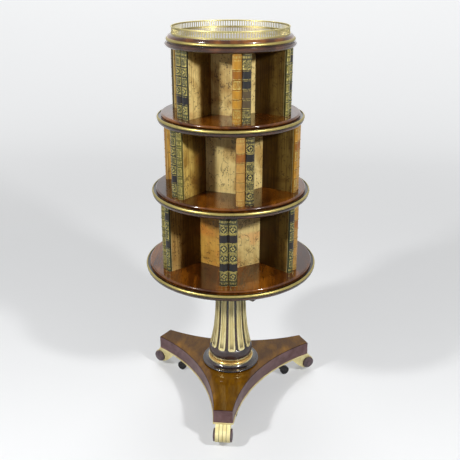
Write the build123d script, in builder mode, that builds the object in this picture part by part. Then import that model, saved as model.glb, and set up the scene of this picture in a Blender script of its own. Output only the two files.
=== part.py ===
# Three-tier revolving bookcase on a concave-sided triform base.
#
# Millimetres. +Z is up, the floor is Z = 0 and the front arm of the base points
# along -Y. Every piece is drawn about the spindle's axis and saved so that the
# origin is the middle of the footprint. Angles called "turn" are measured from
# the front, positive towards +X.

from math import cos, radians, sin, tan
import os

from build123d import *

os.makedirs("parts", exist_ok=True)

# ---------------------------------------------------------------- base
platform_bottom = 79.0  # height of the underside above the floor
platform_thick = 52.0
arm_count = 3
arm_reach = 302.0  # axis to the flat end of an arm
arm_half_width = 31.0
waist_reach = 122.0  # axis to the middle of a concave side
platform_edge = 1.5  # worn chamfer round the top
bead_proud = 2.2  # gilt bead round the platform's foot
bead_height = 4.5

foot_width = 48.0
foot_inner_reach = 236.0  # where the scroll bracket starts under the arm
volute_reach = 310.0  # axis to the centre of the volute
volute_height = 42.0
volute_radius = 23.0
foot_reed_count = 4  # reeds side by side on the outside of the scroll
foot_groove_width = 1.6
foot_groove_depth = 1.4
roundel_radius = 21.0
roundel_thick = 8.5  # at the middle of its dome
roundel_edge = 6.0
roundel_rim = 2.0  # flat rim round the dome

collar_radius = 98.5
collar_height = 17.0
ring_radius = 78.0  # gilt ring between collar and column
ring_height = 20.0
foot_band_height = 32.0  # black torus at the column's foot
foot_band_radius = 75.0
tenon_radius = 30.0
tenon_depth = 42.0  # into the platform
column_top = 458.0
column_foot_radius = 68.0
column_neck_radius = 46.0
reed_count = 12
reed_turn = 7.8
reed_arc = 20.5  # degrees that one gilt reed covers
reed_proud = 3.4
reed_tip = 8.0  # rounding of its lower end
flute_arc = 10.5  # hollow down the middle of each reed
flute_depth = 1.8
flute_end = 7.0  # solid left below the hollow
flute_tip = 4.0

bearer_length = 340.0
bearer_width = 240.0
bearer_turn = 60.0

# ---------------------------------------------------------------- shelves
# Each shelf is named by the height and radius of its brass bead.
base_bead_height = 522.0
base_bead_radius = 280.0
low_bead_height = 773.0
low_bead_radius = 251.5
mid_bead_height = 1008.5
mid_bead_radius = 227.5
top_bead_height = 1238.0
top_bead_radius = 191.7

bead_radius = 4.5  # half-round section of every brass bead
lip_setback = 13.0  # floor edge behind the bead
floor_thick = 10.0
board_above_bead = 3.0
board_below_bead = 18.0
board_setback = 13.0  # underside edge behind the bead
run_gap = 1.0  # between a fixed board and the floor that turns over it
groove_depth = 1.0
washer_clearance = 0.15

top_mould_radius = 196.0
top_mould_height = 14.0
top_groove_height = 4.0
top_groove_depth = 5.5
top_board_rise = 15.0  # bead to the tray's surface
gallery_radius = 174.0
gallery_bar_count = 144
gallery_bar_width = 2.8
gallery_bar_thick = 1.2
gallery_foot_height = 3.0
gallery_rim_height = 3.5
gallery_rail_thick = 4.0
gallery_height = 21.5
gallery_seat_depth = 1.0  # rebate round the tray that takes the gallery's foot
gallery_seat_gap = 0.3

# ---------------------------------------------------------------- tiers
divider_count = 6
divider_half_width = 27.0  # two book spines side by side
divider_root = 5.0  # half width where a divider meets the core
board_thick = 2.5
panel_thick = 3.0
panel_gap = 1.5
spine_bulge = 7.0
spine_gap = 0.4
band_count = 5
band_first = 0.215  # middle of the lowest band, as a share of the spine's height
band_pitch = 0.14
band_height = 3.0
band_proud = 1.3

lower_core_radius = 117.0
lower_spine_reach = 236.0
lower_turn = 2.9
middle_core_radius = 110.0
middle_spine_reach = 219.0
middle_turn = 15.9
upper_core_radius = 84.0
upper_spine_reach = 188.0
upper_turn = 14.4

# ---------------------------------------------------------------- spindle
spindle_radius = 10.0
spindle_socket = 40.0  # depth of the spindle below the column's top
bush_radius = 16.0
bush_clearance = 0.06
core_bore = 19.0
thrust_washer_radius = 34.0
nut_radius = 18.0
nut_height = 14.0
nut_washer_radius = 23.0
nut_washer_thick = 3.0
nut_well_radius = 27.0
nut_well_floor = 11.0  # above the bead's centre, less than the board's rise
cap_radius = 34.0
cap_thick = 2.5
spindle_end = 3.0  # thread left above the nut

# ---------------------------------------------------------------- castors
castor_reach = 190.0
castor_trail = 34.0
castor_headings = {"front": 140.0, "left": 0.0, "right": 0.0}
plate_radius = 20.0
plate_thick = 4.0
stem_radius = 5.0
stem_length = 25.0
stem_clearance = 0.06
hub_radius = 11.0
hub_gap = 0.5
cheek_thick = 4.0
cheek_gap = 1.0
wheel_radius = 16.0
wheel_width = 14.0
axle_radius = 3.0
axle_clearance = 0.06
axle_end = 1.0

# ---------------------------------------------------------------- worked-out places
front = -90.0  # polar angle of the front
platform_top = platform_bottom + platform_thick
collar_top = platform_top + collar_height
ring_top = collar_top + ring_height
band_top = ring_top + foot_band_height
base_board_bottom = base_bead_height - board_below_bead
arm_angles = {"front": front, "left": front - 360 / arm_count, "right": front + 360 / arm_count}
spindle_y = (volute_reach + volute_radius - base_bead_radius) / 2  # behind the footprint's middle


def save(piece, name):
    placed = Pos(0, spindle_y, 0) * piece.part
    placed.label = name
    export_step(placed, f"parts/{name}.step")


def polar(radius, angle):
    return radius * cos(radians(angle)), radius * sin(radians(angle))


# ---------------------------------------------------------------- platform
def arm_corner(angle, side):
    x, y = polar(arm_reach, angle)
    dx, dy = polar(arm_half_width * side, angle + 90)
    return x + dx, y + dy


with BuildSketch() as platform_outline:
    with BuildLine():
        for arm in range(arm_count):
            angle = front + arm * 360 / arm_count
            following = angle + 360 / arm_count
            Line(arm_corner(angle, -1), arm_corner(angle, 1))
            ThreePointArc(
                arm_corner(angle, 1),
                polar(waist_reach, (angle + following) / 2),
                arm_corner(following, -1),
            )
    make_face()

with BuildPart() as platform:
    with BuildSketch(Plane.XY.offset(platform_bottom)):
        add(platform_outline.sketch)
    extrude(amount=platform_thick)
    chamfer(platform.faces().sort_by(Axis.Z)[-1].edges(), platform_edge)
    with Locations((0, 0, platform_top)):
        Hole(tenon_radius, tenon_depth)
save(platform, "platform")

with BuildPart() as platform_bead:
    with BuildSketch(Plane.XY.offset(platform_bottom)):
        add(platform_outline.sketch)
        offset(amount=bead_proud, kind=Kind.INTERSECTION)
        add(platform_outline.sketch, mode=Mode.SUBTRACT)
    extrude(amount=bead_height)
save(platform_bead, "platform_bead")

# ---------------------------------------------------------------- scroll feet
with BuildSketch() as foot_outline:
    with BuildLine():
        shoulder = (arm_reach, platform_bottom)
        crown = (volute_reach + volute_radius * cos(radians(60)),
                 volute_height + volute_radius * sin(radians(60)))
        sole = (volute_reach, volute_height - volute_radius)
        heel = (foot_inner_reach, platform_bottom)
        Line(heel, shoulder)
        Line(shoulder, crown)
        ThreePointArc(crown, (volute_reach + volute_radius, volute_height), sole)
        Spline(
            sole,
            (volute_reach - 24, volute_height - volute_radius + 7),
            (foot_inner_reach + 20, platform_bottom - 27),
            heel,
            tangents=((-1, 0), (-0.5, 1)),
        )
    make_face()

with BuildSketch() as foot_quirk:  # section of one groove, from under the platform to the sole
    with BuildLine():
        quirk_radius = volute_radius - foot_groove_depth
        quirk_crown = (volute_reach + quirk_radius * cos(radians(60)),
                       volute_height + quirk_radius * sin(radians(60)))
        quirk_top = (arm_reach + 3, platform_bottom - 3 * foot_groove_depth)
        quirk_out = (volute_reach + volute_radius, platform_bottom - 3 * foot_groove_depth)
        ThreePointArc(
            (volute_reach, volute_height - quirk_radius),
            (volute_reach + quirk_radius, volute_height),
            quirk_crown,
        )
        Polyline(
            quirk_crown,
            quirk_top,
            quirk_out,
            (volute_reach + volute_radius, volute_height - volute_radius),
            (volute_reach, volute_height - volute_radius),
            (volute_reach, volute_height - quirk_radius),
        )
    make_face()

with BuildPart() as foot_blank:
    with BuildSketch(Plane.XZ):
        add(foot_outline.sketch)
    extrude(amount=foot_width / 2, both=True)
    for groove in range(1, foot_reed_count):
        across = (groove / foot_reed_count - 0.5) * foot_width
        with BuildSketch(Plane.XZ.offset(across - foot_groove_width / 2)):
            add(foot_quirk.sketch)
        extrude(amount=foot_groove_width, mode=Mode.SUBTRACT)

with BuildPart() as scroll_feet:
    with PolarLocations(0, arm_count, front):
        add(foot_blank.part)
save(scroll_feet, "scroll_feet")

with BuildPart() as roundel:
    with BuildSketch(Plane.XZ):
        with BuildLine():
            dome_edge = roundel_radius - roundel_rim
            Polyline(
                (0, roundel_thick),
                (0, 0),
                (roundel_radius, 0),
                (roundel_radius, roundel_edge),
                (dome_edge, roundel_edge),
            )
            TangentArc((0, roundel_thick), (dome_edge, roundel_edge), tangent=(1, 0))
        make_face()
    revolve(axis=Axis.Z)

with BuildPart() as roundel_pair:
    for side in (-1, 1):
        seat = (volute_reach, side * foot_width / 2, volute_height)
        with Locations(Plane(seat, z_dir=(0, side, 0))):
            add(roundel.part)

with BuildPart() as foot_roundels:
    with PolarLocations(0, arm_count, front):
        add(roundel_pair.part)
save(foot_roundels, "foot_roundels")

# ---------------------------------------------------------------- column
with BuildPart() as collar:
    with BuildSketch(Plane.XZ):
        with BuildLine():
            Polyline(
                (ring_radius, collar_top),
                (tenon_radius, collar_top),
                (tenon_radius, platform_top),
                (collar_radius - 3, platform_top),
            )
            ThreePointArc(
                (collar_radius - 3, platform_top),
                (collar_radius, platform_top + 4.5),
                (collar_radius - 4, platform_top + 8.5),
            )
            ThreePointArc(
                (collar_radius - 4, platform_top + 8.5),
                (ring_radius + 4, platform_top + 12.5),
                (ring_radius, collar_top),
            )
        make_face()
    revolve(axis=Axis.Z)
save(collar, "collar")

with BuildPart() as column_ring:
    with BuildSketch(Plane.XZ):
        with BuildLine():
            Polyline(
                (ring_radius - 4, ring_top),
                (tenon_radius, ring_top),
                (tenon_radius, collar_top),
                (ring_radius, collar_top),
                (ring_radius, collar_top + 3),
            )
            ThreePointArc(
                (ring_radius, collar_top + 3),
                (ring_radius - 6, collar_top + ring_height / 2),
                (ring_radius - 4, ring_top - 3),
            )
            Line((ring_radius - 4, ring_top - 3), (ring_radius - 4, ring_top))
        make_face()
    revolve(axis=Axis.Z)
save(column_ring, "column_ring")


def shaft_points(proud):
    """Trumpet outline of the column, from its neck down to the black band."""
    height = column_top - band_top
    flare = column_foot_radius - column_neck_radius
    steps = ((0, 0), (0.42, 0.14), (0.68, 0.34), (0.81, 0.54), (0.91, 0.77), (1, 1))
    return [
        (column_neck_radius + proud + share * flare, column_top - drop * height)
        for drop, share in steps
    ]


with BuildPart() as column:
    with BuildSketch(Plane.XZ):
        with BuildLine():
            Spline(*shaft_points(0))
            ThreePointArc(
                (column_foot_radius, band_top),
                (foot_band_radius, ring_top + foot_band_height * 0.4),
                (foot_band_radius - 3, ring_top),
            )
            Polyline(
                (foot_band_radius - 3, ring_top),
                (tenon_radius, ring_top),
                (tenon_radius, platform_top - tenon_depth),
                (0, platform_top - tenon_depth),
                (0, base_board_bottom),
                (tenon_radius, base_board_bottom),
                (tenon_radius, column_top),
                (column_neck_radius, column_top),
            )
        make_face()
    revolve(axis=Axis.Z)
    with Locations((0, 0, base_board_bottom)):
        Hole(spindle_radius, base_board_bottom - column_top + spindle_socket)
save(column, "column")


def reed_section(low, high):
    """Face between two copies of the shaft's outline, low and high above it."""
    inner = shaft_points(low)
    outer = shaft_points(high)
    with BuildSketch(Plane.XZ) as section:
        with BuildLine():
            Spline(*inner)
            Line(inner[-1], outer[-1])
            Spline(*outer)
            Line(outer[0], inner[0])
        make_face()
    return section.sketch


with BuildPart() as flute:
    add(reed_section(reed_proud - flute_depth, reed_proud + flute_depth))
    revolve(axis=Axis.Z, revolution_arc=flute_arc)
    split(bisect_by=Plane.XY.offset(band_top + flute_end), keep=Keep.TOP)
    fillet(flute.faces().sort_by(Axis.Z)[0].edges().filter_by(GeomType.LINE), flute_tip)

with BuildPart() as reed:
    add(reed_section(0, reed_proud))
    revolve(axis=Axis.Z, revolution_arc=reed_arc)
    fillet(reed.faces().sort_by(Axis.Z)[0].edges().filter_by(GeomType.LINE), reed_tip)
    with Locations(Rotation(0, 0, (reed_arc - flute_arc) / 2)):
        add(flute.part, mode=Mode.SUBTRACT)

with BuildPart() as column_reeds:
    with PolarLocations(0, reed_count, front + reed_turn - reed_arc / 2):
        add(reed.part)
save(column_reeds, "column_reeds")

with BuildPart() as bearer:
    with BuildSketch(Plane.XY.offset(column_top)):
        Rectangle(bearer_length, bearer_width, rotation=front + bearer_turn)
    extrude(amount=base_board_bottom - column_top)
    chamfer(bearer.faces().sort_by(Axis.Z)[0].edges(), 6)
    with Locations((0, 0, base_board_bottom)):
        Hole(tenon_radius)
save(bearer, "bearer")


# ---------------------------------------------------------------- shelf boards and beads
def shelf_board(name, radius, height, bore):
    """Round board with an ovolo edge below the rebate that holds the brass bead."""
    bottom = height - board_below_bead
    top = height + board_above_bead
    rim = radius - bead_radius
    with BuildPart() as board:
        with BuildSketch(Plane.XZ):
            with BuildLine():
                Polyline(
                    (rim, top - groove_depth),
                    (radius - lip_setback, top - groove_depth),
                    (radius - lip_setback, top),
                    (bore, top),
                    (bore, bottom),
                    (radius - board_setback, bottom),
                )
                ThreePointArc(
                    (radius - board_setback, bottom),
                    (radius - 4.5, bottom + 4.5),
                    (radius - 1.5, bottom + 11),
                )
                Polyline(
                    (radius - 1.5, bottom + 11),
                    (radius - 1.5, height - bead_radius),
                    (rim, height - bead_radius),
                    (rim, top - groove_depth),
                )
            make_face()
        revolve(axis=Axis.Z)
    save(board, name)


def shelf_bead(name, radius, height):
    """Half-round brass moulding let into the board's edge."""
    centre = radius - bead_radius
    with BuildPart() as bead:
        with BuildSketch(Plane.XZ):
            with BuildLine():
                ThreePointArc(
                    (centre, height - bead_radius),
                    (radius, height),
                    (centre, height + bead_radius),
                )
                Line((centre, height + bead_radius), (centre, height - bead_radius))
            make_face()
        revolve(axis=Axis.Z)
    save(bead, name)


def thrust_washer(name, board_top):
    """Thin brass ring that carries the tier above."""
    with BuildPart() as washer:
        with BuildSketch(Plane.XY.offset(board_top)):
            Circle(thrust_washer_radius)
            Circle(spindle_radius + 0.5, mode=Mode.SUBTRACT)
        extrude(amount=run_gap - washer_clearance)
    save(washer, name)


shelf_board("base_board", base_bead_radius, base_bead_height, spindle_radius)
shelf_bead("base_bead", base_bead_radius, base_bead_height)
thrust_washer("base_thrust_washer", base_bead_height + board_above_bead)


# ---------------------------------------------------------------- book tiers
def tier_floor(name, below_radius, below_height):
    """Floor with a rounded lip, standing a running gap above the board below."""
    bottom = below_height + board_above_bead + run_gap
    top = bottom + floor_thick
    rim = below_radius - lip_setback
    lip = floor_thick / 2
    with BuildPart() as floor:
        with BuildSketch(Plane.XZ):
            with BuildLine():
                Polyline(
                    (rim - lip, top),
                    (bush_radius, top),
                    (bush_radius, bottom),
                    (rim - lip, bottom),
                )
                ThreePointArc((rim - lip, bottom), (rim, bottom + lip), (rim - lip, top))
            make_face()
        revolve(axis=Axis.Z)
    save(floor, name)
    return top


def core_seat(core_radius):
    """Distance from the axis at which a divider's root meets the core."""
    return core_radius - divider_root / tan(radians(60)) - panel_thick


def tier_core(name, core_radius, turn, floor_top, ceiling):
    """Six-sided core with flats where the dividers seat, bored for the spindle."""
    inner_apothem = core_radius * cos(radians(30)) - panel_thick
    with BuildPart() as core:
        with BuildSketch(Plane.XY.offset(floor_top)):
            RegularPolygon(
                inner_apothem,
                divider_count,
                major_radius=False,
                rotation=front + turn,
            )
            RegularPolygon(
                core_seat(core_radius),
                divider_count,
                major_radius=False,
                rotation=front + turn + 30,
                mode=Mode.INTERSECT,
            )
            Circle(core_bore, mode=Mode.SUBTRACT)
        extrude(amount=ceiling - floor_top)
    save(core, f"{name}_core")


def tier_panels(name, core_radius, turn, floor_top, ceiling):
    """Marbled panels on the core's faces, between the dividers."""
    apothem = core_radius * cos(radians(30))
    corner = divider_root / sin(radians(60))
    length = core_radius - 2 * corner - 2 * panel_gap
    with BuildPart() as panels:
        with BuildSketch(Plane.XY.offset(floor_top)):
            with PolarLocations(apothem - panel_thick / 2, divider_count, front + turn + 30):
                Rectangle(panel_thick, length)
        extrude(amount=ceiling - floor_top)
    save(panels, f"{name}_core_panels")


def wedge_points(seat, face, root, half_width):
    return [(seat, -root), (face, -half_width), (face, half_width), (seat, root)]


def tier_dividers(name, core_radius, face, turn, floor_top, ceiling):
    """Wedge blocks, and the marbled boards glued to their sides."""
    seat = core_seat(core_radius)
    block = wedge_points(seat, face, divider_root - board_thick, divider_half_width - board_thick)
    whole = wedge_points(seat, face, divider_root, divider_half_width)
    with BuildPart() as dividers:
        with BuildSketch(Plane.XY.offset(floor_top)):
            with PolarLocations(0, divider_count, front + turn):
                Polygon(*block, align=None)
        extrude(amount=ceiling - floor_top)
    save(dividers, f"{name}_dividers")
    with BuildPart() as boards:
        with BuildSketch(Plane.XY.offset(floor_top)):
            with PolarLocations(0, divider_count, front + turn):
                Polygon(*whole, align=None)
                Polygon(*block, align=None, mode=Mode.SUBTRACT)
        extrude(amount=ceiling - floor_top)
    save(boards, f"{name}_boards")


def spine_outline(face, side, bulge):
    """Rounded back of one book, on the divider's outer face."""
    inner = side * spine_gap
    outer = side * divider_half_width
    with BuildSketch() as outline:
        with BuildLine():
            Line((face, inner), (face, outer))
            ThreePointArc((face, outer), (face + bulge, (inner + outer) / 2), (face, inner))
        make_face()
    return outline.sketch


def tier_spines(name, face, turn, floor_top, ceiling):
    """Two rounded spines with raised bands on each divider."""
    height = ceiling - floor_top
    with BuildPart() as pair:
        for side in (-1, 1):
            with BuildSketch(Plane.XY.offset(floor_top)):
                add(spine_outline(face, side, spine_bulge))
            extrude(amount=height)
            for band in range(band_count):
                middle = floor_top + (band_first + band * band_pitch) * height
                with BuildSketch(Plane.XY.offset(middle - band_height / 2)):
                    add(spine_outline(face, side, spine_bulge + band_proud))
                extrude(amount=band_height)
    with BuildPart() as spines:
        with PolarLocations(0, divider_count, front + turn):
            add(pair.part)
    save(spines, f"{name}_spines")


def tier_bushes(name, floor_top, ceiling, board_top):
    """Brass bushes that turn on the spindle, one in the floor and one in the board above."""
    with BuildPart() as bushes:
        for bottom, top in ((floor_top - floor_thick, floor_top), (ceiling, board_top)):
            with BuildSketch(Plane.XY.offset(bottom)):
                Circle(bush_radius)
                Circle(spindle_radius + bush_clearance, mode=Mode.SUBTRACT)
            extrude(amount=top - bottom)
    save(bushes, f"{name}_bushes")


def book_tier(name, core_radius, spine_reach, turn, below, above_bottom, board_top):
    """Everything between a tier's floor and the board over it."""
    floor_top = tier_floor(f"{name}_floor", *below)
    face = spine_reach - spine_bulge
    tier_core(name, core_radius, turn, floor_top, above_bottom)
    tier_panels(name, core_radius, turn, floor_top, above_bottom)
    tier_dividers(name, core_radius, face, turn, floor_top, above_bottom)
    tier_spines(name, face, turn, floor_top, above_bottom)
    tier_bushes(name, floor_top, above_bottom, board_top)


base_shelf = (base_bead_radius, base_bead_height)
low_shelf = (low_bead_radius, low_bead_height)
mid_shelf = (mid_bead_radius, mid_bead_height)
top_mould_bottom = top_bead_height - bead_radius - top_groove_height - top_mould_height
tray_height = top_bead_height + top_board_rise
well_floor = top_bead_height - nut_well_floor

book_tier("lower", lower_core_radius, lower_spine_reach, lower_turn, base_shelf,
          low_bead_height - board_below_bead, low_bead_height + board_above_bead)
shelf_board("lower_board", *low_shelf, bush_radius)
shelf_bead("lower_bead", *low_shelf)
thrust_washer("lower_thrust_washer", low_bead_height + board_above_bead)

book_tier("middle", middle_core_radius, middle_spine_reach, middle_turn, low_shelf,
          mid_bead_height - board_below_bead, mid_bead_height + board_above_bead)
shelf_board("middle_board", *mid_shelf, bush_radius)
shelf_bead("middle_bead", *mid_shelf)
thrust_washer("middle_thrust_washer", mid_bead_height + board_above_bead)

book_tier("upper", upper_core_radius, upper_spine_reach, upper_turn, mid_shelf,
          top_mould_bottom, well_floor)

# ---------------------------------------------------------------- top board and gallery
mould_top = top_mould_bottom + top_mould_height
bead_bottom = top_bead_height - bead_radius
bead_top = top_bead_height + bead_radius
top_rim = top_bead_radius - bead_radius
frieze_inner = gallery_radius + gallery_rail_thick
gallery_seat = tray_height - gallery_seat_depth
tray_radius = gallery_radius - gallery_rail_thick / 2 - gallery_seat_gap

with BuildPart() as upper_board:
    with BuildSketch(Plane.XZ):
        with BuildLine():
            ThreePointArc(
                (top_rim, bead_top),
                (top_rim - 2.5, bead_top + 6),
                (frieze_inner, gallery_seat),
            )
            Polyline(
                (frieze_inner, gallery_seat),
                (tray_radius, gallery_seat),
                (tray_radius, tray_height),
                (cap_radius, tray_height),
                (cap_radius, tray_height - cap_thick),
                (nut_well_radius, tray_height - cap_thick),
                (nut_well_radius, well_floor),
                (bush_radius, well_floor),
                (bush_radius, top_mould_bottom),
                (top_mould_radius - 12, top_mould_bottom),
            )
            ThreePointArc(
                (top_mould_radius - 12, top_mould_bottom),
                (top_mould_radius - 3.5, top_mould_bottom + 3.7),
                (top_mould_radius, top_mould_bottom + 10),
            )
            Line((top_mould_radius, top_mould_bottom + 10), (top_mould_radius - 3, mould_top))
            Polyline(
                (top_mould_radius - 3, mould_top),
                (top_rim - top_groove_depth, mould_top),
                (top_rim - top_groove_depth, bead_bottom),
                (top_rim, bead_bottom),
                (top_rim, bead_top),
            )
        make_face()
    revolve(axis=Axis.Z)
save(upper_board, "upper_board")
shelf_bead("upper_bead", top_bead_radius, top_bead_height)

gallery_foot_top = tray_height + gallery_foot_height
gallery_top = tray_height + gallery_height
gallery_rim_bottom = gallery_top - gallery_rim_height

with BuildPart() as gallery_foot:
    with BuildSketch(Plane.XY.offset(gallery_seat)):
        Circle(gallery_radius + gallery_rail_thick / 2)
        Circle(gallery_radius - gallery_rail_thick / 2, mode=Mode.SUBTRACT)
    extrude(amount=gallery_foot_height + gallery_seat_depth)
save(gallery_foot, "gallery_foot")

with BuildPart() as gallery_bars:
    with BuildSketch(Plane.XY.offset(gallery_foot_top)):
        with PolarLocations(gallery_radius, gallery_bar_count):
            Rectangle(gallery_bar_thick, gallery_bar_width)
    extrude(amount=gallery_rim_bottom - gallery_foot_top)
save(gallery_bars, "gallery_bars")

with BuildPart() as gallery_rim:
    with BuildSketch(Plane.XZ):
        with BuildLine():
            half = gallery_rail_thick / 2
            Polyline(
                (gallery_radius - half, gallery_rim_bottom + 1.5),
                (gallery_radius - half, gallery_rim_bottom),
                (gallery_radius + half, gallery_rim_bottom),
                (gallery_radius + half, gallery_rim_bottom + 1.5),
            )
            ThreePointArc(
                (gallery_radius + half, gallery_rim_bottom + 1.5),
                (gallery_radius, gallery_top),
                (gallery_radius - half, gallery_rim_bottom + 1.5),
            )
        make_face()
    revolve(axis=Axis.Z)
save(gallery_rim, "gallery_rim")

# ---------------------------------------------------------------- spindle and its nut
washer_bottom = well_floor + washer_clearance
nut_bottom = washer_bottom + nut_washer_thick
nut_top = nut_bottom + nut_height

with BuildPart() as spindle:
    with BuildSketch(Plane.XY.offset(column_top - spindle_socket)):
        Circle(spindle_radius)
    extrude(amount=nut_top + spindle_end - column_top + spindle_socket)
    chamfer(spindle.faces().sort_by(Axis.Z)[-1].edges(), 1)
save(spindle, "spindle")

with BuildPart() as spindle_washer:
    with BuildSketch(Plane.XY.offset(washer_bottom)):
        Circle(nut_washer_radius)
        Circle(spindle_radius, mode=Mode.SUBTRACT)
    extrude(amount=nut_washer_thick)
save(spindle_washer, "spindle_washer")

with BuildPart() as spindle_nut:
    with BuildSketch(Plane.XY.offset(nut_bottom)):
        RegularPolygon(nut_radius, 6)
        Circle(spindle_radius, mode=Mode.SUBTRACT)
    extrude(amount=nut_height)
save(spindle_nut, "spindle_nut")

with BuildPart() as spindle_cap:
    with BuildSketch(Plane.XY.offset(tray_height - cap_thick)):
        Circle(cap_radius)
    extrude(amount=cap_thick)
save(spindle_cap, "spindle_cap")

# ---------------------------------------------------------------- castors
# A castor is drawn with its stem on the Z axis and its wheel trailing along +X.
plate_bottom = platform_bottom - plate_thick
hub_top = plate_bottom - hub_gap
hub_bottom = plate_bottom - stem_length + 1
cheek_inner = wheel_width / 2 + cheek_gap
cheek_outer = cheek_inner + cheek_thick

with BuildPart() as plate_blank:
    with BuildSketch(Plane.XY.offset(plate_bottom)):
        Circle(plate_radius)
    extrude(amount=plate_thick)
    with BuildSketch(Plane.XY.offset(plate_bottom - stem_length)):
        Circle(stem_radius)
    extrude(amount=stem_length)

with BuildPart() as castor_plates:
    with PolarLocations(castor_reach, arm_count, front):
        add(plate_blank.part)
save(castor_plates, "castor_plates")

with BuildPart() as horn_blank:
    with BuildSketch(Plane.XY.offset(hub_bottom)):
        Circle(hub_radius)
    extrude(amount=hub_top - hub_bottom)
    for side in (-1, 1):
        with BuildSketch(Plane.XZ.offset(side * cheek_inner)):
            with BuildLine():
                Polyline(
                    (castor_trail - 6, wheel_radius - 6),
                    (-9, hub_bottom),
                    (-9, hub_bottom + 10),
                    (12, hub_bottom + 10),
                    (castor_trail + 7, wheel_radius + 3),
                )
                ThreePointArc(
                    (castor_trail + 7, wheel_radius + 3),
                    (castor_trail + 4, wheel_radius - 7),
                    (castor_trail - 6, wheel_radius - 6),
                )
            make_face()
        extrude(amount=side * cheek_thick)
    with BuildSketch(Plane.XY.offset(hub_bottom)):
        with Locations((0.5, 0)):
            Rectangle(19, 2 * cheek_outer)
    extrude(amount=10)
    with Locations((0, 0, hub_top)):
        Hole(stem_radius + stem_clearance)
    with BuildSketch(Plane.XZ.offset(cheek_outer)):
        with Locations((castor_trail, wheel_radius)):
            Circle(axle_radius)
    extrude(amount=-2 * cheek_outer, mode=Mode.SUBTRACT)

with BuildPart() as axle_blank:
    with BuildSketch(Plane.XZ.offset(cheek_outer + axle_end)):
        with Locations((castor_trail, wheel_radius)):
            Circle(axle_radius)
    extrude(amount=-2 * (cheek_outer + axle_end))

with BuildPart() as wheel_blank:
    with BuildSketch(Plane.XZ.offset(wheel_width / 2)):
        with Locations((castor_trail, wheel_radius)):
            Circle(wheel_radius)
            Circle(axle_radius + axle_clearance, mode=Mode.SUBTRACT)
    extrude(amount=-wheel_width)
    chamfer(wheel_blank.edges().filter_by(GeomType.CIRCLE).sort_by(SortBy.RADIUS)[-2:], 1.5)

for corner, arm_angle in arm_angles.items():
    pivot = polar(castor_reach, arm_angle)
    place = Location((*pivot, 0), (0, 0, arm_angle + castor_headings[corner]))
    with BuildPart() as castor_horn:
        with Locations(place):
            add(horn_blank.part)
    save(castor_horn, f"{corner}_castor_horn")
    with BuildPart() as castor_axle:
        with Locations(place):
            add(axle_blank.part)
    save(castor_axle, f"{corner}_castor_axle")
    with BuildPart() as castor_wheel:
        with Locations(place):
            add(wheel_blank.part)
    save(castor_wheel, f"{corner}_castor_wheel")
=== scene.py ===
from math import atan2, cos, pi, radians, sin, sqrt

import bmesh
import bpy
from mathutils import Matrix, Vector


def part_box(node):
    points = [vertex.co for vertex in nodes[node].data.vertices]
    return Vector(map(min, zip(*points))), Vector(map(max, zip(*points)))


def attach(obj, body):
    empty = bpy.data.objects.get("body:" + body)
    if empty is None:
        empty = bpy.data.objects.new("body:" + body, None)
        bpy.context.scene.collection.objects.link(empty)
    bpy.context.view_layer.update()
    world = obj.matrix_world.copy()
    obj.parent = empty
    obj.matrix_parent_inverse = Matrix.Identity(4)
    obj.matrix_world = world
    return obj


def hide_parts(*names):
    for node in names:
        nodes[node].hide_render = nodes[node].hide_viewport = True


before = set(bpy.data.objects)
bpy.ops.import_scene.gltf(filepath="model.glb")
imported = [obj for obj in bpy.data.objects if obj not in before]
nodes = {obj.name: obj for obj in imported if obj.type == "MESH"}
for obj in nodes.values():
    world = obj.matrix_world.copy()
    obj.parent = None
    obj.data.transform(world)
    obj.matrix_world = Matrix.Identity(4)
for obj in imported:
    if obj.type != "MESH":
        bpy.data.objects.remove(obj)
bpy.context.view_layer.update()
print("frame loaded:", len(nodes), "nodes")


# Shader and geometry maths: a wire carries a socket, and arithmetic on wires adds Math nodes.
class Wire:
    def __init__(self, graph, socket):
        self.graph = graph
        self.socket = socket

    def __add__(self, other):
        return self.graph.math("ADD", self, other)

    def __sub__(self, other):
        return self.graph.math("SUBTRACT", self, other)

    def __rsub__(self, other):
        return self.graph.math("SUBTRACT", other, self)

    def __mul__(self, other):
        return self.graph.math("MULTIPLY", self, other)

    def __truediv__(self, other):
        return self.graph.math("DIVIDE", self, other)

    def __pow__(self, other):
        return self.graph.math("POWER", self, other)

    def __abs__(self):
        return self.graph.math("ABSOLUTE", self)


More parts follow.
